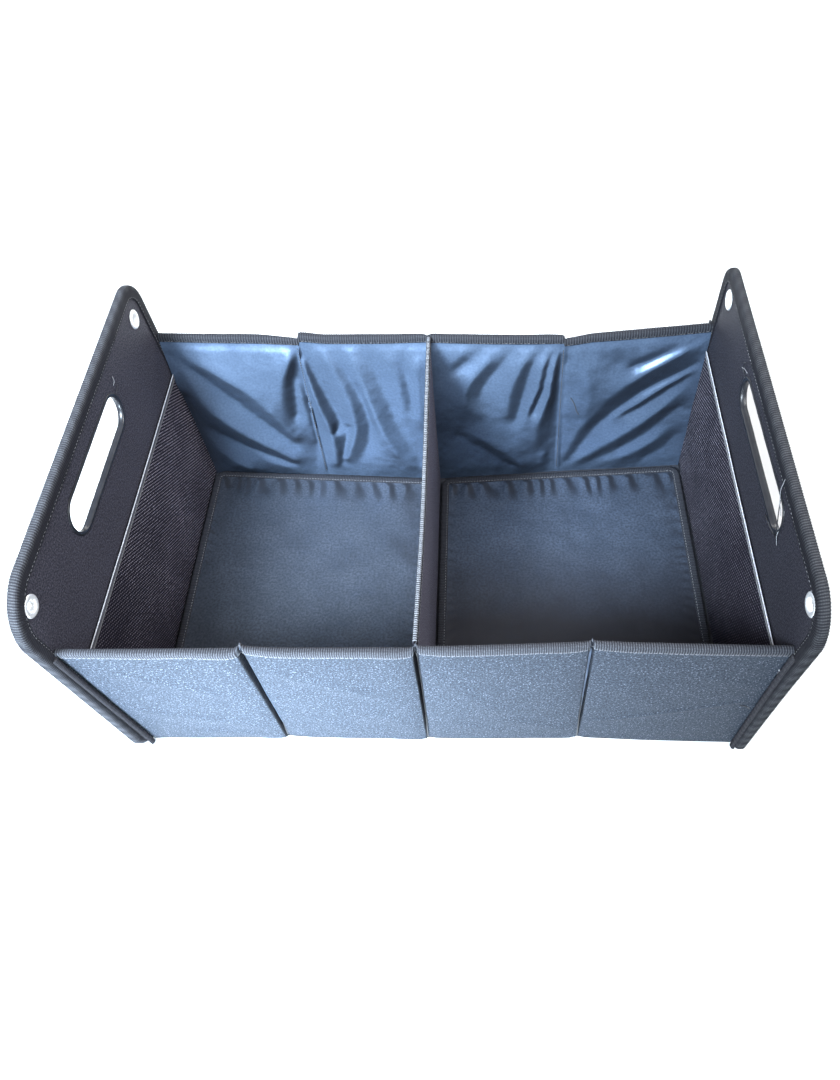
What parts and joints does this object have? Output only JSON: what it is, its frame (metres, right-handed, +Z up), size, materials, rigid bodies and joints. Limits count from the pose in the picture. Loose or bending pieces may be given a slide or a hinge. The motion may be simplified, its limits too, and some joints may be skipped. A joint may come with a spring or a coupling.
{
  "type": "collapsible boot organizer",
  "caption": "Open-topped collapsible boot organizer: stiff end panels with hand slots and eyelets, creased long walls, a centre divider and lift-up floor boards.",
  "frame": {"origin": "centre of the footprint, on the surface that the organizer stands on", "axes": "+X along the length from the left end panel to the right one, +Y from the front long wall to the back one, +Z up"},
  "size_m": [0.5032, 0.326, 0.2346],
  "materials": {
    "outer_fabric": "coated plain-weave polyester, slight sheen",
    "lining": "shiny thin coated nylon",
    "floor_fabric": "satin coated nylon",
    "panel_fabric": "matte black non-woven over board",
    "mesh": "knitted mesh with small open cells",
    "hem_tape": "thin woven hem",
    "edge_tape": "ribbed grosgrain tape",
    "board": "stiff grey-brown fibre board",
    "slot_trim": "glossy black moulded trim",
    "eyelet_steel": "nickel-plated, polished"
  },
  "bodies": {
    "shell": {"left_end_board": "board", "left_end_inner_cover": "panel_fabric", "left_end_outer_cover": "panel_fabric", "left_end_binding": "edge_tape", "left_mesh_pocket": "mesh", "left_pocket_hem": "hem_tape", "left_handle_trim": "slot_trim", "left_front_eyelet": "eyelet_steel", "left_front_eyelet_washer": "eyelet_steel", "left_rear_eyelet": "eyelet_steel", "left_rear_eyelet_washer": "eyelet_steel", "right_end_board": "board", "right_end_inner_cover": "panel_fabric", "right_end_outer_cover": "panel_fabric", "right_end_binding": "edge_tape", "right_mesh_pocket": "mesh", "right_pocket_hem": "hem_tape", "right_handle_trim": "slot_trim", "right_front_eyelet": "eyelet_steel", "right_front_eyelet_washer": "eyelet_steel", "right_rear_eyelet": "eyelet_steel", "right_rear_eyelet_washer": "eyelet_steel", "front_wall_outer_cover": "outer_fabric", "front_wall_board_1": "board", "front_wall_board_2": "board", "front_wall_board_3": "board", "front_wall_board_4": "board", "front_left_lining": "lining", "front_right_lining": "lining", "front_wall_binding": "edge_tape", "back_wall_outer_cover": "outer_fabric", "back_wall_board_1": "board", "back_wall_board_2": "board", "back_wall_board_3": "board", "back_wall_board_4": "board", "back_left_lining": "lining", "back_right_lining": "lining", "back_wall_binding": "edge_tape", "divider_board": "board", "divider_left_cover": "panel_fabric", "divider_right_cover": "panel_fabric", "divider_binding": "edge_tape", "bottom_fabric": "outer_fabric"},
    "left_floor": {"left_floor_board": "board", "left_floor_top_cover": "floor_fabric", "left_floor_bottom_cover": "floor_fabric", "left_floor_binding": "edge_tape"},
    "right_floor": {"right_floor_board": "board", "right_floor_top_cover": "floor_fabric", "right_floor_bottom_cover": "floor_fabric", "right_floor_binding": "edge_tape"}
  },
  "joints": [
    {"name": "left_floor_lift", "type": "hinge", "parent": "shell", "child": "left_floor", "pos_m": [-0.0014, 0, 0.006], "axis": [0, 1, 0], "range_deg": [0, 88]},
    {"name": "right_floor_lift", "type": "hinge", "parent": "shell", "child": "right_floor", "pos_m": [0.0044, 0, 0.006], "axis": [0, -1, 0], "range_deg": [0, 88]}
  ]
}
